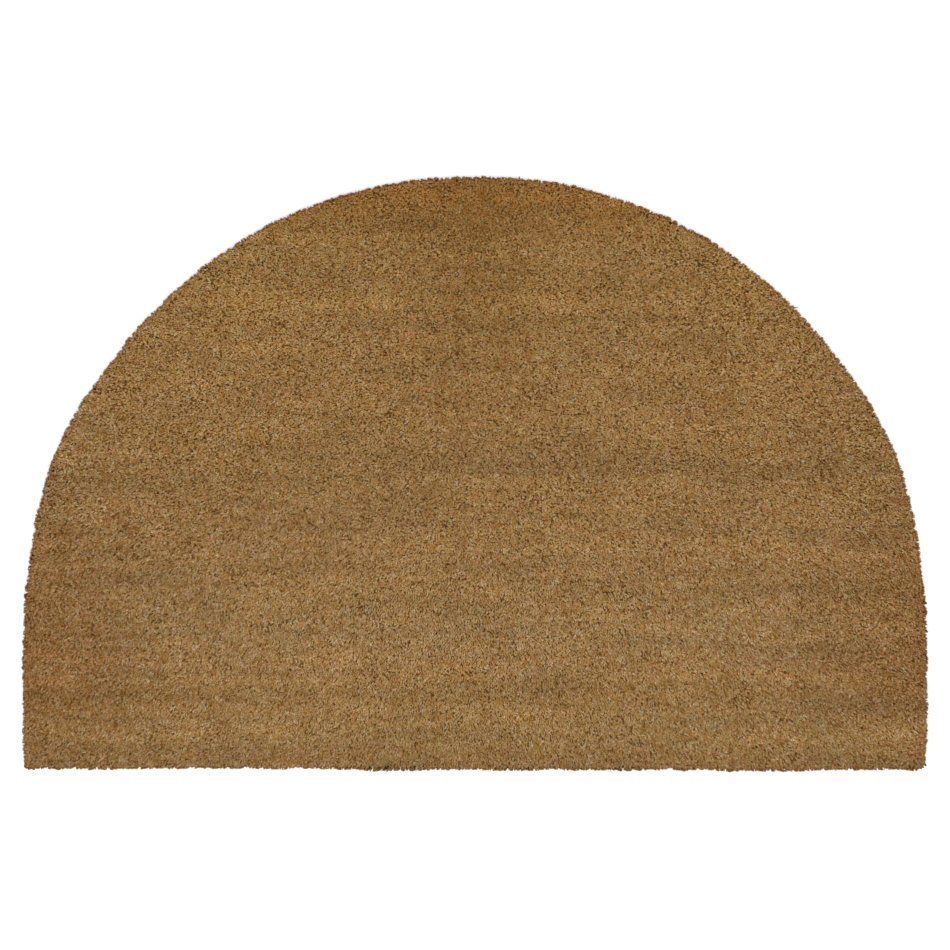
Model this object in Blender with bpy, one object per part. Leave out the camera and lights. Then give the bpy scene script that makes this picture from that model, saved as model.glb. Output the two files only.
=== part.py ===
"""Half-round coir doormat: one cut piece of coir pile bonded into its backing, lying flat.

Metres, +Z up out of the pile, +X along the straight front edge, +Y towards the crown of the arch.
The origin is under the middle of the mat, on the plane it lies on.
"""

import math
import random

import bmesh
import bpy
from mathutils import Vector
from mathutils.geometry import delaunay_2d_cdt

MM = 0.001

# Driving sizes
WIDTH = 0.750
STRAIGHT_SIDE = 0.118
CORNER_RADIUS = 0.004
THICKNESS = 0.017
BACKING = 0.0022
ARCH_RADIUS = WIDTH / 2

# The trimmed edge is a little uneven. Columns: share of the run, how far out it bulges in mm.
FRONT_DRIFT = ((0.0, 0.0), (0.25, -0.3), (0.42, 0.2), (0.5, 1.2), (0.7, 0.7), (0.85, 1.5), (1.0, 0.2))
SIDE_DRIFT = ((0.0, 0.0), (0.3, 1.1), (0.7, 1.0), (1.0, -0.2))
HALF_ARCH_DRIFT = (
    (0.0, -0.2),
    (0.09, -1.0),
    (0.16, 0.4),
    (0.25, 2.3),
    (0.33, 1.4),
    (0.41, -0.6),
    (0.55, -0.1),
    (0.71, 0.5),
    (0.87, 0.0),
    (1.0, -0.9),
)

# The tufts along the cut edge show as small upright lobes.
EDGE_TUFTS = 288
LOBE_DEPTH = (0.4 * MM, 1.2 * MM)
LOBE_SHIFT = 0.18

# The rim from the underside up. Columns: height, how far inside the outline, share of the lobes shown.
RIM = (
    (0.0, 1.4 * MM, 0.0),
    (BACKING, 1.4 * MM, 0.0),
    (0.0075, 0.8 * MM, 0.7),
    (0.0130, 0.0, 1.0),
    (0.0160, 1.6 * MM, 0.8),
)

# The shorn face of the pile rises and falls in low swells.
TOP_PITCH = 0.026
TOP_MARGIN = 0.009
SWELL = 0.4 * MM
# Columns: swells per metre across, swells per metre front to back, phase in radians.
SWELLS = ((3.1, 9.0, 0.4), (7.3, 4.1, 2.1), (5.2, 13.0, 4.0))

COIR_COLOUR = (0.27, 0.15, 0.053, 1.0)
COIR_ROUGHNESS = 0.9


def clear_scene():
    """Removes what the file opens with."""
    for obj in list(bpy.data.objects):
        bpy.data.objects.remove(obj)


def eased(table, share):
    """The value of a (share, value) table, eased from row to row."""
    for (start, low), (end, high) in zip(table, table[1:]):
        if share <= end:
            part = (share - start) / (end - start)
            return low + (high - low) * (1 - math.cos(math.pi * part)) / 2
    return table[-1][1]


def straight_run(start, end, drift):
    """A straight stretch of the outline: its length, then place, outward way and drift at a share."""
    start, end = Vector(start), Vector(end)
    along = (end - start).normalized()
    outward = Vector((along.y, -along.x))
    return (end - start).length, lambda share: (start.lerp(end, share), outward, drift(share))


def round_run(centre, radius, first_angle, last_angle, drift):
    """A round stretch of the outline, with its angles in degrees."""
    centre = Vector(centre)

    def place(share):
        angle = math.radians(first_angle + (last_angle - first_angle) * share)
        outward = Vector((math.cos(angle), math.sin(angle)))
        return centre + outward * radius, outward, drift(share)

    return radius * math.radians(last_angle - first_angle), place


def outline_runs():
    """The outline counter-clockwise from the left end of the front edge, each run with its length."""
    half, corner = WIDTH / 2, CORNER_RADIUS

    def front(share):
        return eased(FRONT_DRIFT, share) * MM

    def right_side(share):
        return eased(SIDE_DRIFT, share) * MM

    def left_side(share):
        return eased(SIDE_DRIFT, 1 - share) * MM

    def arch(share):
        return eased(HALF_ARCH_DRIFT, 1 - abs(2 * share - 1)) * MM

    def none(share):
        return 0.0

    return [
        straight_run((corner - half, 0), (half - corner, 0), front),
        round_run((half - corner, corner), corner, -90, 0, none),
        straight_run((half, corner), (half, STRAIGHT_SIDE), right_side),
        round_run((0, STRAIGHT_SIDE), ARCH_RADIUS, 0, 180, arch),
        straight_run((-half, STRAIGHT_SIDE), (-half, corner), left_side),
        round_run((corner - half, corner), corner, 180, 270, none),
    ]


def on_outline(runs, distance):
    """Place, outward way and drift at a distance along the outline."""
    for length, place in runs:
        if distance <= length:
            return place(distance / length)
        distance -= length
    return runs[-1][1](1.0)


def edge_points():
    """A valley and a crest for each edge tuft: place, outward way, drift and lobe depth."""
    runs = outline_runs()
    around = sum(length for length, _ in runs)
    pitch = around / EDGE_TUFTS
    chance = random.Random(7)
    points = []
    for half_tuft in range(2 * EDGE_TUFTS):
        distance = (half_tuft / 2 + chance.uniform(-LOBE_SHIFT, LOBE_SHIFT)) * pitch
        place, outward, drift = on_outline(runs, distance % around)
        is_valley = half_tuft % 2 == 0
        depth = chance.uniform(*LOBE_DEPTH) if is_valley else 0.0
        points.append((place, outward, drift, depth))
    return points


def ring_at(points, inset, lobe_share):
    """The outline drawn in by inset, with that share of its lobes, as flat points."""
    return [
        place + outward * (drift - inset - depth * lobe_share) for place, outward, drift, depth in points
    ]


def middle_of(flat_points):
    """The middle of the box round some flat points."""
    xs = [point.x for point in flat_points]
    ys = [point.y for point in flat_points]
    return Vector(((min(xs) + max(xs)) / 2, (min(ys) + max(ys)) / 2))


def add_ring(bm, flat_points, height):
    """A closed loop of edges at one height."""
    verts = [bm.verts.new((point.x, point.y, height)) for point in flat_points]
    edges = [bm.edges.new((vert, verts[i - 1])) for i, vert in enumerate(verts)]
    return verts, edges


def swell_at(x, y):
    """Height of the shorn face at a place."""
    waves = [math.sin(math.tau * (across * x + deep * y) + phase) for across, deep, phase in SWELLS]
    return THICKNESS - SWELL + SWELL * sum(waves) / len(waves)


def inside(x, y, margin):
    """Whether a place is that far inside the plain outline."""
    if y <= STRAIGHT_SIDE:
        return abs(x) <= ARCH_RADIUS - margin and y >= margin
    return math.hypot(x, y - STRAIGHT_SIDE) <= ARCH_RADIUS - margin


def top_points():
    """Staggered places over the shorn face, clear of the rim."""
    row_pitch = TOP_PITCH * math.sqrt(3) / 2
    rows = math.ceil((STRAIGHT_SIDE + ARCH_RADIUS) / row_pitch)
    columns = math.ceil(ARCH_RADIUS / TOP_PITCH) + 1
    places = []
    for row in range(rows):
        for column in range(-columns, columns + 1):
            x = (column + 0.5 * (row % 2)) * TOP_PITCH
            y = TOP_MARGIN + row * row_pitch
            if inside(x, y, TOP_MARGIN):
                places.append(Vector((x, y)))
    return places


def add_top(bm, rim_verts, shift):
    """The shorn face, filled with triangles from the rim to the staggered places."""
    inner = [place - shift for place in top_points()]
    rim = [vert.co.xy for vert in rim_verts]
    rim_edges = [(i, (i + 1) % len(rim)) for i in range(len(rim))]
    filled = delaunay_2d_cdt(rim + inner, rim_edges, [], 1, 1e-7)
    flat, triangles, sources = filled[0], filled[2], filled[3]
    verts = []
    for place, source in zip(flat, sources):
        if source[0] < len(rim):
            verts.append(rim_verts[source[0]])
        else:
            height = swell_at(place.x, place.y)
            verts.append(bm.verts.new((place.x, place.y, height)))
    for triangle in triangles:
        bm.faces.new([verts[i] for i in triangle])


def build_mat():
    """The whole mat as one solid: flat underside, lobed rim that flares to the pile, shorn face."""
    points = edge_points()
    shift = middle_of([p for _, inset, share in RIM for p in ring_at(points, inset, share)])
    bm = bmesh.new()
    rings = []
    for height, inset, lobe_share in RIM:
        flat_points = [point - shift for point in ring_at(points, inset, lobe_share)]
        rings.append(add_ring(bm, flat_points, height))
    for (_, lower), (_, upper) in zip(rings, rings[1:]):
        bmesh.ops.bridge_loops(bm, edges=lower + upper)
    bm.faces.new(rings[0][0])
    add_top(bm, rings[-1][0], shift)
    bmesh.ops.recalc_face_normals(bm, faces=bm.faces)
    mesh = bpy.data.meshes.new("coir_mat")
    bm.to_mesh(mesh)
    bm.free()
    return bpy.data.objects.new("coir_mat", mesh)


def coir_material():
    """Dull golden-brown coir."""
    material = bpy.data.materials.new("coir")
    material.use_nodes = True
    shader = material.node_tree.nodes["Principled BSDF"]
    shader.inputs["Base Color"].default_value = COIR_COLOUR
    shader.inputs["Roughness"].default_value = COIR_ROUGHNESS
    shader.inputs["Metallic"].default_value = 0.0
    return material


def main():
    clear_scene()
    doormat = bpy.data.collections.new("half_round_coir_doormat")
    bpy.context.scene.collection.children.link(doormat)
    mat = build_mat()
    mat.data.materials.append(coir_material())
    doormat.objects.link(mat)


main()
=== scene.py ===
import math

import bmesh
import bpy
import numpy as np
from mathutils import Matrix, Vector
from mathutils.kdtree import KDTree


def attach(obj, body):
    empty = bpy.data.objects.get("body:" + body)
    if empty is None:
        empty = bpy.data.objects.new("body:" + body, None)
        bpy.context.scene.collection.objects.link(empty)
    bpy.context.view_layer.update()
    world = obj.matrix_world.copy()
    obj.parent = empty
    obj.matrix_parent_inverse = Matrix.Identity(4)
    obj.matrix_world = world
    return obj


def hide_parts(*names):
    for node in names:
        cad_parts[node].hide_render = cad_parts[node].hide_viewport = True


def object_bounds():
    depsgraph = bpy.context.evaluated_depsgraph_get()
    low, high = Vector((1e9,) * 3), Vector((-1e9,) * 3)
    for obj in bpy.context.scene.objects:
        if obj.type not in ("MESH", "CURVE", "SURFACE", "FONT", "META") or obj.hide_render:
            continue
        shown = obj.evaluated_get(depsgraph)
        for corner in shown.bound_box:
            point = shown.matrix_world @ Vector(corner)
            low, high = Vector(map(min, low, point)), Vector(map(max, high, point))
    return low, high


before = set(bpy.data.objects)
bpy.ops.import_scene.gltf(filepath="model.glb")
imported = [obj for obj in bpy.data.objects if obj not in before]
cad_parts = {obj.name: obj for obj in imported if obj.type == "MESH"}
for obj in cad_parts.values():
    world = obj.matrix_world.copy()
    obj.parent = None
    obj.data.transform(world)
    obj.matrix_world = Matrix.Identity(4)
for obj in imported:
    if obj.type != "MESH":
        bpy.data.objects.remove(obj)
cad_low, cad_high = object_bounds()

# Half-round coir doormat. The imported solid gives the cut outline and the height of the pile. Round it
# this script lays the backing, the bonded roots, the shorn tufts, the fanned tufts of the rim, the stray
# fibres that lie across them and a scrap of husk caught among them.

MM = 0.001

# The mat's cut, as in the solid: a half circle over short straight sides
MAT_WIDTH = 0.750
MAT_DEPTH = 0.493
BACKING = 2.2 * MM
WIDEST_HEIGHT = 13.0 * MM

# The outline is read from the solid as points this far apart, and its outward way over this many of them
OUTLINE_STEP = 1.0 * MM
OUTWARD_POINTS = 6

# The bonded roots, seen only between the tufts
ROOT_SHRINK = (0.991, 0.987)
ROOT_HEIGHT = 13.3 * MM

# The shorn tufts. Their lean along the nap is the first value at the crown, and grows by the second
# towards the front. Each leans, stands and looks a little otherwise.
PILE_TOP = 16.0 * MM
TUFT_PITCH = 3.3 * MM
TUFT_JITTER = 0.7 * MM
TUFT_LEAN = (0.06, 0.50)
TUFT_LEAN_SPREAD = (0.16, 0.09)
TUFT_TOP_SPREAD = 0.22 * MM
TUFT_TONE_SPREAD = 0.09
TUFT_TONE_LIMITS = (0.7, 1.3)
RIM_CLEARANCE = 1.6 * MM
PILE_BANDS = 5

# The cut fibre bundles that the tufts are made of, and the finer bristles that stand among them
FIBRE_PITCH = 1.28 * MM
FIBRE_JITTER = 0.33 * MM
FIBRE_LENGTH = 8.0 * MM
FIBRE_LENGTH_SPREAD = 0.3 * MM
FIBRE_TOP_SPREAD = 0.32 * MM
FIBRE_LEAN_SPREAD = (0.28, 0.12)
FIBRE_TONE_LIMITS = (0.35, 1.9)
BUNDLE_RADIUS = 1.06 * MM
BRISTLE_RADIUS = 0.6 * MM
BRISTLE_SHARE = 0.12
GIRTH_RANGE = (0.75, 1.3)

# How much more a fibre leans out for its distance from its tuft's middle
TUFT_SPLAY = 0.08 / MM

# How much of a fibre's tint is its tuft's. Of the tufts, this share is greenish at the crown, less by the
# second value at the front, and so are this many of their fibres. The reddish fibres likewise, but for
# the least there are.
TUFT_TINT_SHARE = 0.75
GREENISH_TUFTS = (0.022, 0.018)
GREENISH_FIBRES = 0.6
REDDISH_FIBRES = (0.007, 0.013)
REDDISH_LEAST = 0.0008

# The nap fans out over this distance from the middle, and lies sideways above the first of these places
# and not below the second. It turns towards the front between the next two. Places are shares of the way
# from the crown to the front.
NAP_FAN = 0.35
NAP_SIDEWAYS = 0.8
NAP_LEAST = 0.02
SIDEWAYS_PLACES = (0.5, 0.75)
FRONTWARD_PLACES = (0.15, 0.7)

# How closely the fibres keep to the nap: round the middle, and how much more at the front and the sides
HOLD_MIDDLE = 0.42
HOLD_FRONT = 0.6
HOLD_SIDES = 0.5
HOLD_PLACES = (0.45, 0.85)

# The slant of the cut ends, how far they are drawn out along the nap, and how far they turn off it
CUT_SLANT = 0.45
CUT_SLANT_LIMIT = 0.9
CUT_STRETCH = 2.15
WAY_SPREAD = 0.32

# Small thin places in the pile, where the roots show, gathered in loose clusters, which are likeliest at
# the crown and less so by the second value at the front
THIN_LIKELY = (1.6, 1.4)
THIN_CLUSTERS = 600
THIN_IN_CLUSTER = 6
CLUSTER_SPREAD = (8.0 * MM, 4.0 * MM)
THIN_RADIUS = (0.70 * MM, 1.35 * MM)

# Towards this far from the middle the pile is more broken up, in tone and in thin places. The change of
# tone from fibre to fibre is the first value in the middle, and the second is added at the sides.
SIDE_REACH = 0.36
FIBRE_TONE_SPREAD = (0.125, 0.075)

# A scrap of paler, redder husk caught in the pile, as flakes side by side. Columns, in mm: the middle
# of the flake across and up the mat, its length up the mat, half its width.
HUSK_FLAKES = (
    (-57.1, 115.7, 4.2, 1.8),
    (-54.9, 116.5, 4.8, 1.8),
    (-51.2, 116.8, 4.6, 1.6),
    (-59.8, 119.0, 2.8, 1.1),
)
HUSK_FLATNESS = 4.0
HUSK_TONES = (0.8, 1.05)

# The rim's tufts, and how far their fibres spread along the outline, in points of it
RIM_PITCH = 3.0 * MM
RIM_JITTER = 0.5
RIM_SPREAD = 1.1
RIM_FIBRES = 14
RIM_STRETCH = 1.75
RIM_RADIUS = (0.45 * MM, 0.75 * MM)
RIM_SLANT = 0.5
RIM_TINT_SHARE = 0.6
RIM_TONE = (0.92, 0.13)
RIM_TONE_LIMITS = (0.5, 1.4)

# The rim's cut ends stand this high at the outline, less up to the drop, and over the rim's depth they
# rise inwards by the slope. The fibres start at the rim's foot, and crowd towards the outline.
RIM_TOP = 15.2 * MM
RIM_DROP = 1.8 * MM
RIM_DEPTH = 3.0 * MM
RIM_SLOPE = 0.3
RIM_FOOT = 1.2 * MM
RIM_CROWDING = 1.5

# The rim's lean outwards, as its middle and spread, and the sideways fan and spread of a tuft's fibres
RIM_LEAN = (0.14, 0.05)
RIM_FAN = 0.03
RIM_FAN_SPREAD = 0.08

# How far a rim fibre's middle stays behind its reach, how far a tuft's reach changes, and how much the
# fibres at a tuft's sides fall short of its middle
RIM_SETBACK = 0.6 * MM
RIM_REACH_SPREAD = 0.10 * MM
RIM_ROUNDING = 0.06 * MM

# How far the rim's tufts reach past the solid's outline. Columns: direction from the mat's middle in
# degrees, reach in mm.
RIM_REACH = (
    (-180, 1.3),
    (-166, 1.1),
    (-162, 1.0),
    (-159.3, 0.9),
    (-157.7, 1.6),
    (-156, 0.6),
    (-155, 0.5),
    (-153, 0.1),
    (-151.5, 0.0),
    (-150, 0.9),
    (-146, 0.4),
    (-140, 0.9),
    (-135, 0.5),
    (-131, -0.1),
    (-127, 1.1),
    (-121, 0.2),
    (-116, 0.4),
    (-109, 2.5),
    (-103, 2.1),
    (-100, 0.9),
    (-97, 0.4),
    (-89, 0.0),
    (-81, 1.3),
    (-77, 0.4),
    (-72, 0.6),
    (-64, 1.4),
    (-57, 0.7),
    (-48, 0.9),
    (-45.5, 1.6),
    (-40, 0.0),
    (-34, 2.0),
    (-31.3, 0.1),
    (-30, 1.3),
    (-28.7, 0.3),
    (-28, 0.3),
    (-24, 0.2),
    (-20, 0.8),
    (-18, 1.2),
    (-16, 1.5),
    (-13, 0.9),
    (0, 1.7),
    (10, 1.5),
    (13.5, 1.1),
    (17, 1.5),
    (60, 1.3),
    (90, 1.2),
    (118, 1.1),
    (130, 1.3),
    (137, 1.1),
    (142, 1.0),
    (145.4, 0.3),
    (149, 0.9),
    (153, 1.1),
    (165, 0.2),
    (172, 0.9),
    (180, 1.3),
)

# The rim's tufts clump into soft lobes, this many points of the outline apart
LOBE_PITCH = 8.0
LOBE_REACH = 0.4 * MM

# The stray fibres, before those too near the rim are left out. Most of each lies sunk below the lifted
# top of the pile. Most of them are pale, the others reddish.
STRAYS = 6000
STRAY_CLEARANCE = 5.0 * MM
STRAY_LENGTH = (3.0 * MM, 7.0 * MM)
STRAY_RADIUS = (0.24 * MM, 0.38 * MM)
STRAY_FLATNESS = (1.5, 5.0)
STRAY_STRETCH = 1.75
STRAY_BEND = 2.2
STRAY_LIFT = 0.3 * MM
STRAY_SUNK = 0.8
STRAY_TURN = 0.7
STRAY_BACKWARD = 0.3
PALE_SHARE = 0.75
PALE_TINTS = (0.6, 0.84)
PALE_TONES = (0.95, 1.25)
REDDISH_TINTS = (0.9, 0.98)
REDDISH_TONES = (0.75, 1.0)

# Each fibre has its own cell on its piece's flat map, so that no two share a colour there
FIBRE_MAP = "OFBake"

# The photograph's frame, and the mat's place in it
PHOTO_SIDE = 950
MAT_LEFT, MAT_RIGHT = 22, 928
MAT_TOP, MAT_BOTTOM = 176, 772
CAMERA_LENS = 200.0
CAMERA_SENSOR = 36.0
CAMERA_SIGHT = 20.0

# The studio
FLOOR_SIZE = 12.0
FLOOR_TONE = 0.96
SKY_STRENGTH = 0.95
LAMP_SIZE = 2.2


def deselect_all():
    """Nothing is selected, in object mode, before an operator runs."""
    if bpy.context.object and bpy.context.object.mode != "OBJECT":
        bpy.ops.object.mode_set(mode="OBJECT")
    for obj in bpy.context.selected_objects:
        obj.select_set(False)


def make_active(obj):
    """Only this object is selected and active."""
    deselect_all()
    obj.select_set(True)
    bpy.context.view_layer.objects.active = obj


def delete_template(obj):
    """Takes a modelled template out of the scene once its copies are made."""
    bpy.data.objects.remove(obj)


# Shader groups and materials


def group_with(name, inputs, outputs):
    """An empty shader group with its named inputs and outputs, and the nodes that hold them."""
    group = bpy.data.node_groups.new(name, "ShaderNodeTree")
    for label, kind, start in inputs:
        socket = group.interface.new_socket(label, in_out="INPUT", socket_type=kind)
        socket.default_value = start
    for label, kind in outputs:
        group.interface.new_socket(label, in_out="OUTPUT", socket_type=kind)
    entry = group.nodes.new("NodeGroupInput")
    leave = group.nodes.new("NodeGroupOutput")
    return group, entry, leave


def join(tree, source, node, socket):
    """Links an output to a node's input, by name or number."""
    tree.links.new(source, node.inputs[socket])


def remap(tree, source, low, high, to_low, to_high):
    """Maps a value's range to another, clamped."""
    node = tree.nodes.new("ShaderNodeMapRange")
    node.inputs["From Min"].default_value = low
    node.inputs["From Max"].default_value = high
    node.inputs["To Min"].default_value = to_low
    node.inputs["To Max"].default_value = to_high
    join(tree, source, node, "Value")
    return node.outputs["Result"]


def times(tree, first, second):
    """The product of two values."""
    node = tree.nodes.new("ShaderNodeMath")
    node.operation = "MULTIPLY"
    join(tree, first, node, 0)
    join(tree, second, node, 1)
    return node.outputs["Value"]


def noise(tree, place, scale, detail=2.0, roughness=0.5):
    """A noise texture's value, read at a place that may be stretched."""
    stretch = tree.nodes.new("ShaderNodeMapping")
    stretch.inputs["Scale"].default_value = scale
    join(tree, place, stretch, "Vector")
    node = tree.nodes.new("ShaderNodeTexNoise")
    node.inputs["Scale"].default_value = 1.0
    node.inputs["Detail"].default_value = detail
    node.inputs["Roughness"].default_value = roughness
    join(tree, stretch.outputs["Vector"], node, "Vector")
    return node.outputs["Fac"]


def ramp(tree, source, stops):
    """A colour ramp with (place, linear colour) stops."""
    node = tree.nodes.new("ShaderNodeValToRGB")
    elements = node.color_ramp.elements
    while len(elements) < len(stops):
        elements.new(0.5)
    for element, (place, colour) in zip(elements, stops):
        element.position = place
        element.color = (*colour, 1.0)
    join(tree, source, node, "Fac")
    return node.outputs["Color"]


def mixed(tree, blend, amount, first, second):
    """Two colours mixed by a blend mode. The amount may be a number, and the second a plain colour."""
    node = tree.nodes.new("ShaderNodeMix")
    node.data_type = "RGBA"
    node.blend_type = blend
    factor, colour_a, colour_b = node.inputs[0], node.inputs[6], node.inputs[7]
    tree.links.new(first, colour_a)
    if isinstance(amount, float):
        factor.default_value = amount
    else:
        tree.links.new(amount, factor)
    if isinstance(second, tuple):
        colour_b.default_value = (*second, 1.0)
    else:
        tree.links.new(second, colour_b)
    return node.outputs[2]


# The middle span of a noise's values, which the maps below spread out
NOISE_SPAN = (0.3, 0.7)

# Dry coir by hue, in linear colour: the greenest, greyish, ochre, tan, reddish tan, golden, olive, tan
# again, the reddest from one place to the next, and last the husk
COIR_TINTS = (
    (0.00, (0.250, 0.180, 0.072)),
    (0.05, (0.274, 0.170, 0.080)),
    (0.14, (0.288, 0.173, 0.041)),
    (0.32, (0.284, 0.165, 0.052)),
    (0.48, (0.298, 0.158, 0.058)),
    (0.64, (0.296, 0.165, 0.044)),
    (0.80, (0.270, 0.171, 0.057)),
    (0.92, (0.284, 0.163, 0.057)),
    (0.95, (0.300, 0.116, 0.038)),
    (0.98, (0.300, 0.110, 0.038)),
    (1.00, (0.335, 0.158, 0.074)),
)
GREENEST = 0.0
PLAIN_TINTS = (0.05, 0.92)
RIM_TINTS = (0.12, 0.70)
REDDEST = 0.97
HUSK_TINT = 1.0

# What a fibre's colour is multiplied by from darker and more saturated to paler, over this span of its
# shade value.
# The low end colours the painted shade towards the roots as well as the darker fibres.
SHADE_SPAN = (0.3, 1.7)
COIR_SHADES = (
    (0.000, (0.480, 0.235, 0.035)),
    (0.143, (0.665, 0.440, 0.165)),
    (0.321, (0.840, 0.720, 0.490)),
    (0.500, (1.000, 1.000, 1.000)),
    (0.679, (1.155, 1.285, 1.610)),
    (1.000, (1.410, 1.790, 3.000)),
)


def coir_group():
    """Colour, streaks and roughness of coir: its tint and tone, painted shade darkening it towards its
    roots, its single fibres.
    """
    group, entry, leave = group_with(
        "coir_fibres",
        [
            ("Tint", "NodeSocketFloat", 0.5),
            ("Tone", "NodeSocketFloat", 1.0),
            ("Along", "NodeSocketFloat", 1.0),
            ("Root Shade", "NodeSocketFloat", 0.45),
            ("Shade From", "NodeSocketFloat", 0.7),
        ],
        [("Color", "NodeSocketColor"), ("Streak", "NodeSocketFloat"), ("Roughness", "NodeSocketFloat")],
    )
    place = group.nodes.new("ShaderNodeTexCoord").outputs["Object"]
    streak = noise(group, place, (1000.0, 1000.0, 220.0), detail=2.0, roughness=0.65)
    tinted = ramp(group, entry.outputs["Tint"], COIR_TINTS)
    # Painted shade: below Shade From along the fibre, its tone falls towards Root Shade at the root
    root = group.nodes.new("ShaderNodeMapRange")
    root.inputs["To Max"].default_value = 1.0
    join(group, entry.outputs["Along"], root, "Value")
    join(group, entry.outputs["Shade From"], root, "From Min")
    join(group, entry.outputs["Root Shade"], root, "To Min")
    root_shade_and_tone = times(group, root.outputs["Result"], entry.outputs["Tone"])
    shade = times(group, root_shade_and_tone, remap(group, streak, *NOISE_SPAN, 0.66, 1.34))
    tone_and_shade = ramp(group, remap(group, shade, *SHADE_SPAN, 0.0, 1.0), COIR_SHADES)
    toned = mixed(group, "MULTIPLY", 1.0, tinted, tone_and_shade)
    join(group, toned, leave, "Color")
    join(group, streak, leave, "Streak")
    join(group, remap(group, streak, *NOISE_SPAN, 0.72, 0.95), leave, "Roughness")
    return group


def soft_patch(tree, place, centre, reach):
    """1 in the middle of an oval on the mat's face, fading to 0 at its rim."""
    local = tree.nodes.new("ShaderNodeMapping")
    local.vector_type = "TEXTURE"
    local.inputs["Location"].default_value = (*centre, 0.0)
    local.inputs["Scale"].default_value = (*reach, 10.0)
    join(tree, place, local, "Vector")
    ball = tree.nodes.new("ShaderNodeTexGradient")
    ball.gradient_type = "SPHERICAL"
    join(tree, local.outputs["Vector"], ball, "Vector")
    eased = tree.nodes.new("ShaderNodeMapRange")
    eased.interpolation_type = "SMOOTHSTEP"
    join(tree, ball.outputs["Fac"], eased, "Value")
    return eased.outputs["Result"]


# The mat's tone from the crown of the arch to the front edge, as a multiplier. The darker crown, darkest
# in a band just inside its edge, and the darker front edge are painted shade.
TONE_AND_SHADE_RUN = (
    (0.00, (0.97, 0.85, 0.69)),
    (0.012, (0.85, 0.74, 0.56)),
    (0.05, (0.81, 0.72, 0.58)),
    (0.13, (0.95, 0.96, 0.98)),
    (0.20, (1.00, 1.00, 1.00)),
    (0.26, (0.94, 0.94, 0.99)),
    (0.38, (0.97, 0.97, 1.05)),
    (0.50, (0.88, 0.89, 0.98)),
    (0.63, (1.03, 1.05, 1.21)),
    (0.72, (0.95, 0.99, 1.16)),
    (0.77, (0.99, 1.05, 1.28)),
    (0.82, (1.03, 1.06, 1.26)),
    (0.87, (0.90, 0.92, 1.03)),
    (0.94, (1.03, 1.09, 1.27)),
    (1.00, (0.78, 0.77, 0.87)),
)

# Soft patches of another tone: middle, reach, multiplier. One lies under the crown, a broad one and a
# narrow one along the rim at each side near the front, a darker and a paler one near the front, and a
# paler one at each side higher up. The darker one under the crown and the narrow ones along the rim are
# painted shade.
TONE_AND_SHADE_PATCHES = (
    ((0.0, 0.160), (0.085, 0.150), (0.88, 0.84, 0.76)),
    ((-0.400, -0.130), (0.180, 0.160), (0.81, 0.70, 0.58)),
    ((0.400, -0.130), (0.180, 0.160), (0.84, 0.74, 0.62)),
    ((-0.380, -0.160), (0.026, 0.140), (0.90, 0.88, 0.85)),
    ((0.380, -0.160), (0.026, 0.140), (0.90, 0.88, 0.85)),
    ((-0.285, -0.185), (0.105, 0.080), (0.91, 0.89, 0.88)),
    ((0.165, -0.175), (0.120, 0.090), (1.07, 1.07, 1.06)),
    ((-0.220, 0.070), (0.150, 0.140), (1.05, 1.05, 1.04)),
    ((0.220, 0.070), (0.130, 0.140), (1.05, 1.04, 1.03)),
)


def zones_group():
    """Broad changes of tone and painted shade: from the crown to the front edge, in soft patches and in
    faint rows.
    """
    group, entry, leave = group_with("mat_zones", [], [("Color", "NodeSocketColor")])
    place = group.nodes.new("ShaderNodeTexCoord").outputs["Object"]
    split = group.nodes.new("ShaderNodeSeparateXYZ")
    join(group, place, split, "Vector")
    run = remap(group, split.outputs["Y"], MAT_DEPTH / 2, -MAT_DEPTH / 2, 0.0, 1.0)
    colour = ramp(group, run, TONE_AND_SHADE_RUN)
    for centre, reach, tone in TONE_AND_SHADE_PATCHES:
        colour = mixed(group, "MULTIPLY", soft_patch(group, place, centre, reach), colour, tone)
    rows = noise(group, place, (2.2, 34.0, 0.0), detail=2.0)
    fine_rows = noise(group, place, (9.0, 95.0, 0.0), detail=1.0)
    patches = noise(group, place, (22.0, 22.0, 0.0), detail=3.0)
    colour = mixed(group, "MULTIPLY", 1.0, colour, remap(group, rows, *NOISE_SPAN, 0.91, 1.09))
    colour = mixed(group, "MULTIPLY", 1.0, colour, remap(group, fine_rows, *NOISE_SPAN, 0.93, 1.07))
    colour = mixed(group, "MULTIPLY", 1.0, colour, remap(group, patches, *NOISE_SPAN, 0.93, 1.07))
    join(group, colour, leave, "Color")
    return group


COIR = coir_group()
ZONES = zones_group()


def material_shader(name, roughness, shine=0.15):
    """A material with its Principled shader at these plain values."""
    material = bpy.data.materials.new(name)
    material.use_nodes = True
    shader = material.node_tree.nodes["Principled BSDF"]
    shader.inputs["Roughness"].default_value = roughness
    shader.inputs["Specular IOR Level"].default_value = shine
    return material, shader


def attribute(tree, name):
    """A number that each fibre's points carry."""
    node = tree.nodes.new("ShaderNodeAttribute")
    node.attribute_name = name
    return node.outputs["Fac"]


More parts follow.
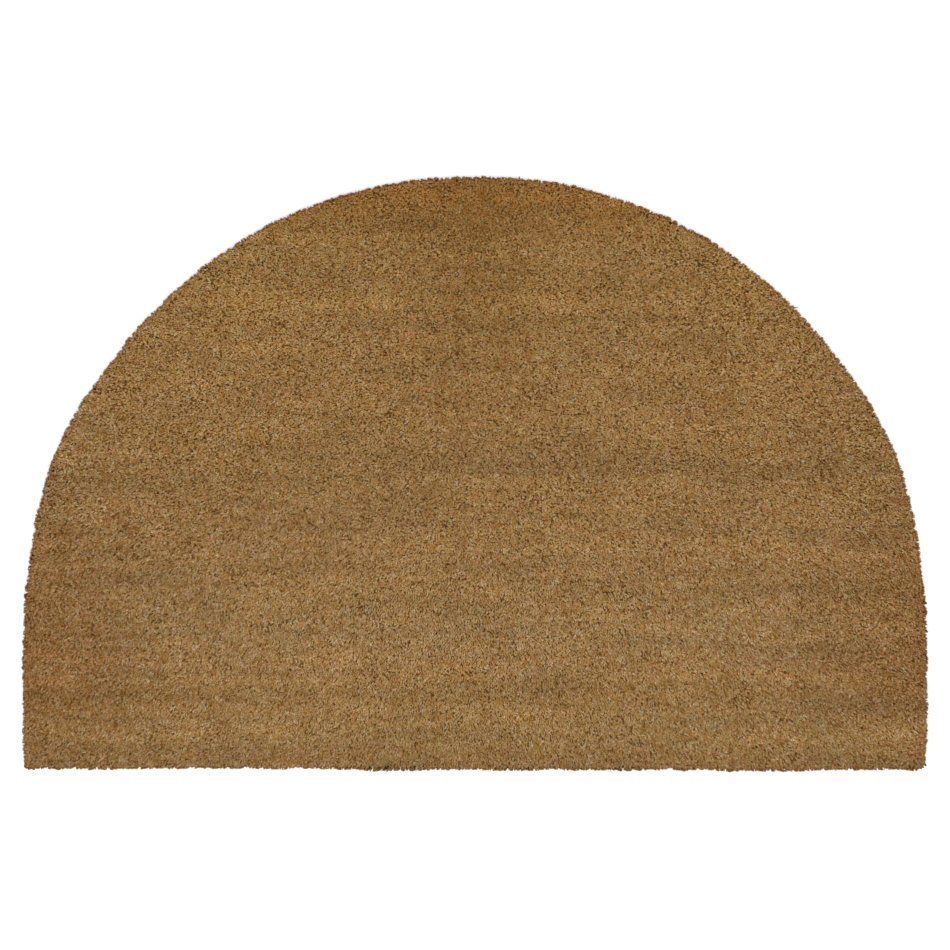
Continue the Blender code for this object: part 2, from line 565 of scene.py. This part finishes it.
def coir_material(name, root_shade, shade_from, bump, shine):
    """Coir whose fibres carry their own tint, tone and height, with painted shade darkening them towards
    their roots.
    """
    material, shader = material_shader(name, 0.85, shine)
    tree = material.node_tree
    fibres = tree.nodes.new("ShaderNodeGroup")
    fibres.node_tree = COIR
    fibres.inputs["Root Shade"].default_value = root_shade
    fibres.inputs["Shade From"].default_value = shade_from
    join(tree, attribute(tree, "tint"), fibres, "Tint")
    join(tree, attribute(tree, "tone"), fibres, "Tone")
    join(tree, attribute(tree, "along"), fibres, "Along")
    zones = tree.nodes.new("ShaderNodeGroup")
    zones.node_tree = ZONES
    colour = mixed(tree, "MULTIPLY", 1.0, fibres.outputs["Color"], zones.outputs["Color"])
    join(tree, colour, shader, "Base Color")
    join(tree, fibres.outputs["Roughness"], shader, "Roughness")
    rise = tree.nodes.new("ShaderNodeBump")
    rise.inputs["Strength"].default_value = bump
    rise.inputs["Distance"].default_value = 0.3 * MM
    join(tree, fibres.outputs["Streak"], rise, "Height")
    join(tree, rise.outputs["Normal"], shader, "Normal")
    return material


def root_material():
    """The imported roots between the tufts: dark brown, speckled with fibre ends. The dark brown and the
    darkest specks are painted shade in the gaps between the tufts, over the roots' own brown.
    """
    material, shader = material_shader("bonded_roots", 0.95)
    tree = material.node_tree
    place = tree.nodes.new("ShaderNodeTexCoord").outputs["Object"]
    ends = noise(tree, place, (800.0, 800.0, 200.0), detail=3.0)
    # Painted shade: the darkest stops stand for the shade in the gaps, the palest for fibre ends
    colour = ramp(tree, ends, (
        (0.34, (0.050, 0.022, 0.006)),
        (0.50, (0.140, 0.072, 0.020)),
        (0.66, (0.260, 0.145, 0.050)),
    ))
    join(tree, colour, shader, "Base Color")
    rise = tree.nodes.new("ShaderNodeBump")
    rise.inputs["Distance"].default_value = 0.8 * MM
    join(tree, ends, rise, "Height")
    join(tree, rise.outputs["Normal"], shader, "Normal")
    return material


def backing_material():
    """Plain dark brown vinyl with a fine pebbled grain and a faint show of the fibres set in it."""
    material, shader = material_shader("vinyl_backing", 0.6)
    tree = material.node_tree
    place = tree.nodes.new("ShaderNodeTexCoord").outputs["Object"]
    cloud = noise(tree, place, (60.0, 60.0, 60.0), detail=4.0)
    pebble = noise(tree, place, (900.0, 900.0, 900.0), detail=2.0)
    colour = ramp(tree, cloud, ((0.3, (0.050, 0.030, 0.016)), (0.7, (0.085, 0.052, 0.026))))
    flecked = mixed(tree, "MIX", remap(tree, pebble, 0.62, 0.74, 0.0, 0.5), colour, (0.20, 0.12, 0.05))
    join(tree, flecked, shader, "Base Color")
    join(tree, remap(tree, pebble, *NOISE_SPAN, 0.5, 0.75), shader, "Roughness")
    rise = tree.nodes.new("ShaderNodeBump")
    rise.inputs["Strength"].default_value = 0.6
    rise.inputs["Distance"].default_value = 0.4 * MM
    join(tree, pebble, rise, "Height")
    join(tree, rise.outputs["Normal"], shader, "Normal")
    return material


# Shapes modelled once, and the arrays that copy them


def model_cut_fibre():
    """A shorn bundle: three-sided, one unit tall, cut square, drawn to a point at its root."""
    deselect_all()
    bpy.ops.mesh.primitive_cone_add(
        vertices=3, radius1=0.0, radius2=1.0, depth=1.0, end_fill_type="NGON", location=(0, 0, 0.5)
    )
    return bpy.context.object


def model_fine_fibre():
    """A single fibre that stands proud: three-sided, thickest at its root."""
    deselect_all()
    bpy.ops.mesh.primitive_cone_add(
        vertices=3, radius1=1.0, radius2=0.0, depth=1.0, end_fill_type="NGON", location=(0, 0, 0.5)
    )
    return bpy.context.object


def model_rim_fibre():
    """A fibre bundle of the rim, as thick at its cut end as at its foot."""
    deselect_all()
    bpy.ops.mesh.primitive_cylinder_add(
        vertices=3, radius=1.0, depth=1.0, end_fill_type="NGON", location=(0, 0, 0.5)
    )
    return bpy.context.object


def model_stray_fibre():
    """A loose fibre, bent as it lies: a thin three-sided run drawn out in two lengths."""
    deselect_all()
    bpy.ops.mesh.primitive_cylinder_add(
        vertices=3, radius=1.0, depth=0.5, end_fill_type="NGON", location=(0, 0, 0.25)
    )
    obj = bpy.context.object
    bpy.ops.object.mode_set(mode="EDIT")
    bpy.ops.mesh.select_mode(type="FACE")
    bpy.ops.mesh.select_all(action="DESELECT")
    bm = bmesh.from_edit_mesh(obj.data)
    max(bm.faces, key=lambda face: face.calc_center_median().z).select_set(True)
    bmesh.update_edit_mesh(obj.data)
    bpy.ops.mesh.extrude_region_move(TRANSFORM_OT_translate={"value": (STRAY_BEND, 0, 0.5)})
    bpy.ops.transform.resize(value=(0.6, 0.6, 1.0))
    bpy.ops.mesh.select_mode(type="VERT")
    bpy.ops.object.mode_set(mode="OBJECT")
    return obj


def template_arrays(template):
    """A template's points, its faces' corners from its foot up, and how many corners each face has."""
    make_active(template)
    bpy.ops.object.transform_apply(location=True, rotation=True, scale=True)
    me = template.data
    points = np.array([v.co[:] for v in me.vertices])
    faces = sorted(me.polygons, key=lambda face: min(points[i][2] for i in face.vertices))
    corners = np.array([i for face in faces for i in face.vertices])
    sizes = np.array([face.loop_total for face in faces])
    return points, corners, sizes


def flat_places(points):
    """Each template point's place on a square cell: its height goes up it, its turn across it."""
    z = points[:, 2]
    same_ring = np.abs(z[:, None] - z[None, :]) < 0.01
    middle = same_ring @ points[:, :2] / same_ring.sum(1, keepdims=True)
    x, y = (points[:, :2] - middle).T
    on_axis = np.hypot(x, y) < 0.1
    third = np.where(on_axis, 1, np.floor(np.arctan2(y, x) / (math.tau / 3) + 1.5))
    is_side = np.abs(third - 1)
    across = 0.5 + 0.42 * (third - 1)
    up = 0.05 + 0.4 * z + 0.5 * np.where(on_axis, z, is_side)
    return np.column_stack([across, up])


def fibre_frames(leans, spins):
    """For each fibre, the two directions across its lean, turned by its spin."""
    along = np.column_stack([leans, np.ones(len(leans))])
    along /= np.linalg.norm(along, axis=1, keepdims=True)
    spun = np.column_stack([np.cos(spins), np.sin(spins), np.zeros(len(spins))])
    across = np.cross(spun, along)
    across /= np.linalg.norm(across, axis=1, keepdims=True)
    return across, np.cross(along, across)


def fibre_points(points, roots, leans, heights, radii, slants, ways, stretches):
    """Every fibre's points: the template's, grown from each root to its height along its lean.

    The girth is drawn out along the fibre's way, as the cut face of a slanting fibre is.
    """
    count = len(roots)
    across, beside = fibre_frames(leans, CHANCE.uniform(0.0, math.tau, count))
    x, y, z = points.T
    cut = (x[None, :] * slants[:, :1] + y[None, :] * slants[:, 1:]) * radii[:, None]
    lift = z[None, :] * (heights[:, None] + cut)
    rise = np.column_stack([leans, np.ones(count)])
    girth = (x[None, :] * radii[:, None])[:, :, None] * across[:, None, :]
    girth = girth + (y[None, :] * radii[:, None])[:, :, None] * beside[:, None, :]
    drawn = (girth[:, :, :2] * ways[:, None, :]).sum(2)
    girth[:, :, :2] += (stretches - 1)[:, None, None] * drawn[:, :, None] * ways[:, None, :]
    girth[:, :, :2] *= (stretches**-0.5)[:, None, None]
    return roots[:, None, :] + lift[:, :, None] * rise[:, None, :] + girth


def joined_copies(name, places, corners, sizes):
    """One mesh of many copies of a template's faces, over each copy's own points."""
    count, per = places.shape[:2]
    me = bpy.data.meshes.new(name)
    me.vertices.add(count * per)
    me.vertices.foreach_set("co", places.astype(np.float32).ravel())
    me.loops.add(count * len(corners))
    shifted = corners[None, :] + np.arange(count)[:, None] * per
    me.loops.foreach_set("vertex_index", shifted.astype(np.int32).ravel())
    me.polygons.add(count * len(sizes))
    totals = np.tile(sizes, count)
    starts = np.concatenate([[0], np.cumsum(totals)[:-1]])
    me.polygons.foreach_set("loop_start", starts.astype(np.int32))
    me.update(calc_edges=True)
    return me


def carry_number(me, label, values):
    """Gives the mesh's points a number that its material reads."""
    layer = me.attributes.new(label, "FLOAT", "POINT")
    layer.data.foreach_set("value", values.astype(np.float32))


def lay_flat_map(me, count, cell_places):
    """Gives each of the mesh's fibres a square cell of its own on the flat map."""
    cells = math.ceil(math.sqrt(count))
    cell = np.column_stack([np.arange(count) % cells, np.arange(count) // cells])
    spots = (cell[:, None, :] + cell_places[None, :, :]) / cells
    flat_map = me.uv_layers.new(name=FIBRE_MAP)
    flat_map.uv.foreach_set("vector", spots.astype(np.float32).ravel())


def plant(name, template, material, roots, leans, heights, radii, slants, ways, stretches, tints, tones):
    """A piece of many fibres, each a copy of the template with its own row of these values."""
    points, corners, sizes = template_arrays(template)
    places = fibre_points(points, roots, leans, heights, radii, slants, ways, stretches)
    me = joined_copies(name, places, corners, sizes)
    carry_number(me, "tint", np.repeat(tints, len(points)))
    carry_number(me, "tone", np.repeat(tones, len(points)))
    carry_number(me, "along", np.tile(points[:, 2], len(roots)))
    lay_flat_map(me, len(roots), flat_places(points)[corners])
    me.materials.append(material)
    piece = bpy.data.objects.new(name, me)
    bpy.context.scene.collection.objects.link(piece)
    return piece


# The mat's outline, read from the solid


def cut_outline():
    """Points round the solid's widest outline, a step apart, and the outward way at each."""
    points = np.array([v.co[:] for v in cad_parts["coir_mat"].data.vertices])
    ring = points[np.abs(points[:, 2] - WIDEST_HEIGHT) < 0.2 * MM][:, :2]
    ring = np.unique(ring.round(6), axis=0)
    ring = ring[np.argsort(np.arctan2(ring[:, 1], ring[:, 0]))]
    closed = np.vstack([ring, ring[:1]])
    steps = np.linalg.norm(np.diff(closed, axis=0), axis=1)
    travelled = np.concatenate([[0.0], np.cumsum(steps)])
    places = np.arange(0.0, travelled[-1], OUTLINE_STEP)
    outline = np.column_stack([np.interp(places, travelled, closed[:, i]) for i in (0, 1)])
    ahead = np.roll(outline, -OUTWARD_POINTS, axis=0) - np.roll(outline, OUTWARD_POINTS, axis=0)
    outward = np.column_stack([ahead[:, 1], -ahead[:, 0]])
    return outline, outward / np.linalg.norm(outward, axis=1, keepdims=True)


CHANCE = np.random.default_rng(20)
OUTLINE, OUTWARD = cut_outline()


def nearest(targets, places):
    """For each place, the number of the nearest target and how far off it is."""
    tree = KDTree(len(targets))
    for i, point in enumerate(targets):
        tree.insert((*point, 0.0), i)
    tree.balance()
    found = [tree.find((*place, 0.0)) for place in places]
    return np.array([i for _, i, _ in found]), np.array([far for _, _, far in found])


def depth_inside(places):
    """How far inside the outline each place is."""
    near, _ = nearest(OUTLINE, places)
    return ((OUTLINE[near] - places) * OUTWARD[near]).sum(1)


# The lie of the pile


def front_share(y):
    """0 at the crown of the arch, 1 at the straight front edge."""
    return np.clip(0.5 - y / MAT_DEPTH, 0.0, 1.0)


def eased_share(values, low, high):
    """0 up to low, 1 from high on, eased between."""
    part = np.clip((values - low) / (high - low), 0.0, 1.0)
    return part * part * (3 - 2 * part)


def nap_ways(places):
    """The way the pile lies at each place: sideways near the crown, fanning out towards the front."""
    share = front_share(places[:, 1])
    side = np.where(places[:, 0] < 0, -1, 1)
    above = 1 - eased_share(share, *SIDEWAYS_PLACES)
    sideways = np.abs(places[:, 0]) / NAP_FAN + NAP_SIDEWAYS * above + NAP_LEAST
    ways = np.column_stack([side * sideways, -eased_share(share, *FRONTWARD_PLACES)])
    return ways / np.linalg.norm(ways, axis=1, keepdims=True)


def nap_hold(places):
    """How closely the fibres keep to the nap: 1 near the front and the sides, less round the middle."""
    front = eased_share(front_share(places[:, 1]), *HOLD_PLACES)
    sides = (places[:, 0] / SIDE_REACH) ** 2
    return np.clip(HOLD_MIDDLE + HOLD_FRONT * front + HOLD_SIDES * sides, 0.0, 1.0)


def turned(ways, angles):
    """Each way turned by its own angle."""
    cosine, sine = np.cos(angles), np.sin(angles)
    x, y = ways.T
    return np.column_stack([x * cosine - y * sine, x * sine + y * cosine])


def scattered_leans(ways, along, across):
    """Random leans, wider along the nap than across it."""
    beside = np.column_stack([-ways[:, 1], ways[:, 0]])
    each = (len(ways), 1)
    return ways * CHANCE.normal(0.0, along, each) + beside * CHANCE.normal(0.0, across, each)


def roots_below(ends, leans, heights):
    """Where the fibres stand whose ends are here."""
    return ends - heights[:, None] * np.column_stack([leans, np.ones(len(ends))])


# The shorn field


def staggered(pitch, jitter):
    """Places in staggered rows over the mat's box, each a little off its mark."""
    rise = pitch * math.sqrt(0.75)
    rows = int(MAT_DEPTH / rise) + 4
    columns = int(MAT_WIDTH / pitch) + 4
    row, column = np.meshgrid(np.arange(rows), np.arange(columns), indexing="ij")
    x = (column + 0.5 * (row % 2) - columns / 2) * pitch
    y = (row - rows / 2) * rise
    places = np.column_stack([x.ravel(), y.ravel()])
    return places + CHANCE.normal(0.0, jitter, places.shape)


def thinned(tips):
    """The tips less those in the thin places, which are more common at the crown and the sides."""
    at_crown, fall = THIN_LIKELY
    likely = (at_crown - fall * front_share(tips[:, 1])) * (1 + (tips[:, 0] / SIDE_REACH) ** 2)
    clusters = CHANCE.choice(len(tips), THIN_CLUSTERS, replace=False, p=likely / likely.sum())
    thin = np.repeat(tips[clusters], THIN_IN_CLUSTER, axis=0)
    thin = thin + CHANCE.normal(0.0, CLUSTER_SPREAD, thin.shape)
    own, from_thin = nearest(thin, tips)
    return tips[from_thin > CHANCE.uniform(*THIN_RADIUS, len(thin))[own]]


def shorn_tips():
    """Where the shorn fibres end, from the crown to the front edge."""
    tips = staggered(FIBRE_PITCH, FIBRE_JITTER)
    tips = tips[depth_inside(tips) > RIM_CLEARANCE]
    return thinned(tips[np.argsort(-tips[:, 1])])


def shorn_tints(tuft_tint, greenish, share):
    """Each fibre's tint: near its tuft's own, but for some in greenish tufts and a few reddish ones."""
    number = len(tuft_tint)
    low, high = PLAIN_TINTS
    place = TUFT_TINT_SHARE * tuft_tint + (1 - TUFT_TINT_SHARE) * CHANCE.random(number)
    tint = low + (high - low) * place
    tint = np.where(greenish & (CHANCE.random(number) < GREENISH_FIBRES), GREENEST, tint)
    at_crown, fall = REDDISH_FIBRES
    reddish = CHANCE.random(number) < np.maximum(at_crown - fall * share, REDDISH_LEAST)
    return np.where(reddish, REDDEST, tint)


def shorn_tones(tuft_tone, x):
    """Each fibre's tone: its tuft's, with more change from fibre to fibre towards the sides."""
    in_middle, at_sides = FIBRE_TONE_SPREAD
    uneven = in_middle + at_sides * (x / SIDE_REACH) ** 2
    return tuft_tone * np.clip(1.0 + CHANCE.normal(0.0, 1.0, len(x)) * uneven, *FIBRE_TONE_LIMITS)


def shorn_pile(cut_fibre, fine_fibre, material):
    """The shorn field of tufts, in bands from the crown to the front edge."""
    tufts = staggered(TUFT_PITCH, TUFT_JITTER)
    tips = shorn_tips()
    own, _ = nearest(tufts, tips)
    share = front_share(tufts[:, 1])
    count = len(tufts)
    ways, hold = nap_ways(tufts), nap_hold(tufts)
    at_crown, growth = TUFT_LEAN
    tuft_lean = ways * (at_crown + growth * share**2)[:, None] + scattered_leans(ways, *TUFT_LEAN_SPREAD)
    tuft_top = PILE_TOP + CHANCE.normal(0.0, TUFT_TOP_SPREAD, count)
    tuft_tone = np.clip(CHANCE.normal(1.0, TUFT_TONE_SPREAD, count), *TUFT_TONE_LIMITS)
    tuft_tint = CHANCE.random(count)
    at_crown, fall = GREENISH_TUFTS
    greenish = CHANCE.random(count) < at_crown - fall * share
    pieces = []
    for band, chosen in enumerate(np.array_split(np.arange(len(tips)), PILE_BANDS), start=1):
        fine = CHANCE.random(len(chosen)) < BRISTLE_SHARE
        for kind, template, which, radius in (
            ("pile", cut_fibre, chosen[~fine], BUNDLE_RADIUS),
            ("bristle", fine_fibre, chosen[fine], BRISTLE_RADIUS),
        ):
            number, tuft = len(which), own[which]
            offset = tips[which] - tufts[tuft]
            own_lean = scattered_leans(ways[tuft], *FIBRE_LEAN_SPREAD)
            lean = tuft_lean[tuft] + offset * TUFT_SPLAY + own_lean
            top = tuft_top[tuft] + CHANCE.normal(0.0, FIBRE_TOP_SPREAD, number)
            tall = FIBRE_LENGTH + CHANCE.normal(0.0, FIBRE_LENGTH_SPREAD, number)
            tint = shorn_tints(tuft_tint[tuft], greenish[tuft], share[tuft])
            tone = shorn_tones(tuft_tone[tuft], tips[which, 0])
            pieces.append(plant(
                f"{kind}_{band}",
                template,
                material,
                roots_below(np.column_stack([tips[which], top]), lean, tall),
                lean,
                tall,
                radius * CHANCE.uniform(*GIRTH_RANGE, number),
                CHANCE.normal(0.0, CUT_SLANT, (number, 2)).clip(-CUT_SLANT_LIMIT, CUT_SLANT_LIMIT),
                turned(ways[tuft], CHANCE.normal(0.0, WAY_SPREAD, number) / hold[tuft]),
                1 + (CUT_STRETCH - 1) * hold[tuft],
                tint,
                tone,
            ))
    return pieces


# The rim, the stray fibres and the husk


def rim_reach():
    """How far past each outline point the rim's tufts reach, with their soft lobes."""
    direction = np.degrees(np.arctan2(OUTLINE[:, 1], OUTLINE[:, 0]))
    drift = np.interp(direction, *np.array(RIM_REACH).T) * MM
    around = np.arange(len(OUTLINE))
    knots = np.arange(0.0, len(OUTLINE), LOBE_PITCH)
    lobes = CHANCE.normal(0.0, LOBE_REACH, len(knots))
    return drift + np.interp(around, knots, lobes, period=len(OUTLINE))


def rim_pile(rim_fibre, material):
    """The tufts of the cut edge, which fan outward to the outline."""
    around = len(OUTLINE)
    tufts = np.arange(0.0, around, RIM_PITCH / OUTLINE_STEP)
    tufts = (tufts + CHANCE.normal(0.0, RIM_JITTER, len(tufts))) % around
    which = np.repeat(np.arange(len(tufts)), RIM_FIBRES)
    number = len(which)
    along = CHANCE.normal(0.0, RIM_SPREAD, number)
    spot = (np.rint(tufts[which] + along).astype(int)) % around
    outward = OUTWARD[spot]
    forward = np.column_stack([-outward[:, 1], outward[:, 0]])
    tuft_reach = CHANCE.normal(0.0, RIM_REACH_SPREAD, len(tufts))[which]
    reach = tuft_reach - RIM_ROUNDING * along**2 + rim_reach()[spot]
    depth = CHANCE.uniform(0.0, 1.0, number) ** RIM_CROWDING * RIM_DEPTH
    top = RIM_TOP - RIM_DROP * CHANCE.random(number) + depth * RIM_SLOPE
    ends = np.column_stack([OUTLINE[spot] + outward * (reach - RIM_SETBACK - depth)[:, None], top])
    out_lean = CHANCE.normal(*RIM_LEAN, number)
    side_lean = along * RIM_FAN + CHANCE.normal(0.0, RIM_FAN_SPREAD, number)
    lean = outward * out_lean[:, None] + forward * side_lean[:, None]
    tall = top - RIM_FOOT
    low, high = RIM_TINTS
    tuft_tint = CHANCE.random(len(tufts))[which]
    place = RIM_TINT_SHARE * tuft_tint + (1 - RIM_TINT_SHARE) * CHANCE.random(number)
    tint = low + (high - low) * place
    tone = np.clip(CHANCE.normal(*RIM_TONE, number), *RIM_TONE_LIMITS)
    return plant(
        "rim_pile",
        rim_fibre,
        material,
        roots_below(ends, lean, tall),
        lean,
        tall,
        CHANCE.uniform(*RIM_RADIUS, number),
        CHANCE.normal(0.0, RIM_SLANT, (number, 2)),
        outward,
        np.full(number, RIM_STRETCH),
        tint,
        tone,
    )


def stray_pile(stray_fibre, material):
    """Loose fibres lying across the shorn face, most of them pale and the others reddish."""
    places = np.column_stack([
        CHANCE.uniform(-MAT_WIDTH / 2, MAT_WIDTH / 2, STRAYS),
        CHANCE.uniform(-MAT_DEPTH / 2, MAT_DEPTH / 2, STRAYS),
    ])
    places = places[depth_inside(places) > STRAY_CLEARANCE]
    number = len(places)
    ways = nap_ways(places)
    turn = np.arctan2(ways[:, 1], ways[:, 0]) + CHANCE.normal(0.0, STRAY_TURN, number)
    turn = turn + np.where(CHANCE.random(number) < STRAY_BACKWARD, math.pi, 0.0)
    flatness = CHANCE.uniform(*STRAY_FLATNESS, number)
    lean = np.column_stack([np.cos(turn), np.sin(turn)]) * flatness[:, None]
    tall = CHANCE.uniform(*STRAY_LENGTH, number) / np.sqrt(1 + flatness**2)
    pale = CHANCE.random(number) < PALE_SHARE
    tint = np.where(pale, CHANCE.uniform(*PALE_TINTS, number), CHANCE.uniform(*REDDISH_TINTS, number))
    return plant(
        "stray_fibres",
        stray_fibre,
        material,
        np.column_stack([places, PILE_TOP + STRAY_LIFT - tall * STRAY_SUNK]),
        lean,
        tall,
        CHANCE.uniform(*STRAY_RADIUS, number),
        np.zeros((number, 2)),
        ways,
        np.full(number, STRAY_STRETCH),
        tint,
        np.where(pale, CHANCE.uniform(*PALE_TONES, number), CHANCE.uniform(*REDDISH_TONES, number)),
    )


def husk_scrap(rim_fibre, material):
    """A scrap of husk caught in the pile: a few short, broad flakes lying side by side."""
    across, up, length, half_width = np.array(HUSK_FLAKES).T * MM
    number = len(HUSK_FLAKES)
    forward = np.column_stack([np.zeros(number), np.ones(number)])
    tall = length / HUSK_FLATNESS
    return plant(
        "husk_scrap",
        rim_fibre,
        material,
        np.column_stack([across, up - length / 2, PILE_TOP - tall / 2]),
        forward * HUSK_FLATNESS,
        tall,
        half_width,
        np.zeros((number, 2)),
        forward,
        np.ones(number),
        np.full(number, HUSK_TINT),
        CHANCE.uniform(*HUSK_TONES, number),
    )


# The backing and the roots, cut from the solid


def copy_of_solid(name):
    """A merged copy of the solid, in edit mode, for a piece that keeps its outline."""
    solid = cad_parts["coir_mat"]
    obj = bpy.data.objects.new(name, solid.data.copy())
    obj.data.materials.clear()
    bpy.context.scene.collection.objects.link(obj)
    make_active(obj)
    bpy.ops.object.mode_set(mode="EDIT")
    bpy.ops.mesh.select_all(action="SELECT")
    bpy.ops.mesh.remove_doubles(threshold=0.01 * MM)
    bpy.ops.mesh.select_all(action="SELECT")
    return obj


def backing_sheet(material):
    """The vinyl sheet under the pile: the foot of the solid, cut off level."""
    obj = copy_of_solid("mat_backing")
    bpy.ops.mesh.bisect(
        plane_co=(0, 0, BACKING - 0.05 * MM), plane_no=(0, 0, 1), use_fill=True, clear_outer=True
    )
    bpy.ops.mesh.select_all(action="SELECT")
    bpy.ops.mesh.normals_make_consistent(inside=False)
    bpy.ops.object.mode_set(mode="OBJECT")
    obj.data.materials.append(material)
    return obj


def root_bed(material):
    """The mass of bonded roots that the tufts stand in, lower and narrower than they are."""
    obj = copy_of_solid("root_bed")
    bpy.ops.mesh.bisect(plane_co=(0, 0, BACKING), plane_no=(0, 0, 1), use_fill=True, clear_inner=True)
    bpy.ops.mesh.select_all(action="SELECT")
    shrink_up = (ROOT_HEIGHT - BACKING) / (cad_high.z - BACKING)
    bpy.ops.transform.resize(value=(*ROOT_SHRINK, shrink_up), center_override=(0, 0, BACKING))
    bpy.ops.mesh.normals_make_consistent(inside=False)
    bpy.ops.object.mode_set(mode="OBJECT")
    obj.data.materials.append(material)
    return obj


def build_mat():
    """Every piece of the mat, riding on its one body."""
    cut_fibre, fine_fibre = model_cut_fibre(), model_fine_fibre()
    rim_fibre, stray_fibre = model_rim_fibre(), model_stray_fibre()
    # Painted shade: the shorn fibres darken over their lower part, the rim's fibres from their foot up,
    # the strays not at all
    coir = coir_material("shorn_coir", root_shade=0.6, shade_from=0.55, bump=0.5, shine=0.15)
    rim_coir = coir_material("rim_coir", root_shade=0.5, shade_from=0.0, bump=0.8, shine=0.0)
    stray_coir = coir_material("stray_coir", root_shade=1.0, shade_from=0.0, bump=0.3, shine=0.15)
    pieces = [rim_pile(rim_fibre, rim_coir)]
    pieces.extend(shorn_pile(cut_fibre, fine_fibre, coir))
    pieces.append(stray_pile(stray_fibre, stray_coir))
    pieces.append(husk_scrap(rim_fibre, stray_coir))
    pieces.append(root_bed(root_material()))
    for template in (cut_fibre, fine_fibre, rim_fibre, stray_fibre):
        delete_template(template)
    backing = backing_sheet(backing_material())
    for piece in [backing, *pieces]:
        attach(piece, "root")
        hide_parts("coir_mat")
    return backing, pieces


# Floor, light and camera


def stage_floor():
    """A plain pale floor."""
    deselect_all()
    bpy.ops.mesh.primitive_plane_add(size=FLOOR_SIZE, location=(0, 0, 0))
    floor = bpy.context.object
    floor.name = "floor"
    material, shader = material_shader("pale_floor", 0.8)
    shader.inputs["Base Color"].default_value = (FLOOR_TONE, FLOOR_TONE, FLOOR_TONE, 1.0)
    floor.data.materials.append(material)


def light_studio():
    """Soft light from above, a little stronger from one side, with pale light all round."""
    world = bpy.data.worlds.new("studio")
    bpy.context.scene.world = world
    world.use_nodes = True
    background = world.node_tree.nodes["Background"]
    background.inputs["Color"].default_value = (1.0, 1.0, 1.0, 1.0)
    background.inputs["Strength"].default_value = SKY_STRENGTH
    for name, place, power in (("key", (-0.4, -0.7, 3.0), 66.0), ("fill", (0.8, 0.5, 3.0), 34.0)):
        light = bpy.data.lights.new(name, "AREA")
        light.shape = "SQUARE"
        light.size = LAMP_SIZE
        light.energy = power
        lamp = bpy.data.objects.new(name, light)
        lamp.location = place
        lamp.rotation_euler = (-Vector(place)).to_track_quat("-Z", "Y").to_euler()
        bpy.context.scene.collection.objects.link(lamp)


def aim_camera():
    """Straight down from above, framed as the photograph is."""
    pixel = (cad_high.x - cad_low.x) / (MAT_RIGHT - MAT_LEFT)
    down = (MAT_TOP + MAT_BOTTOM) / 2 - PHOTO_SIDE / 2
    right = (MAT_LEFT + MAT_RIGHT) / 2 - PHOTO_SIDE / 2
    reach = pixel * PHOTO_SIDE / CAMERA_SENSOR * CAMERA_LENS
    data = bpy.data.cameras.new("camera")
    data.lens = CAMERA_LENS
    data.sensor_width = CAMERA_SENSOR
    data.clip_end = CAMERA_SIGHT
    camera = bpy.data.objects.new("camera", data)
    camera.location = (-right * pixel, down * pixel, WIDEST_HEIGHT + reach)
    bpy.context.scene.collection.objects.link(camera)
    bpy.context.scene.camera = camera
    bpy.context.scene.view_settings.view_transform = "Standard"


aim_camera()
light_studio()
stage_floor()
backing, pile = build_mat()
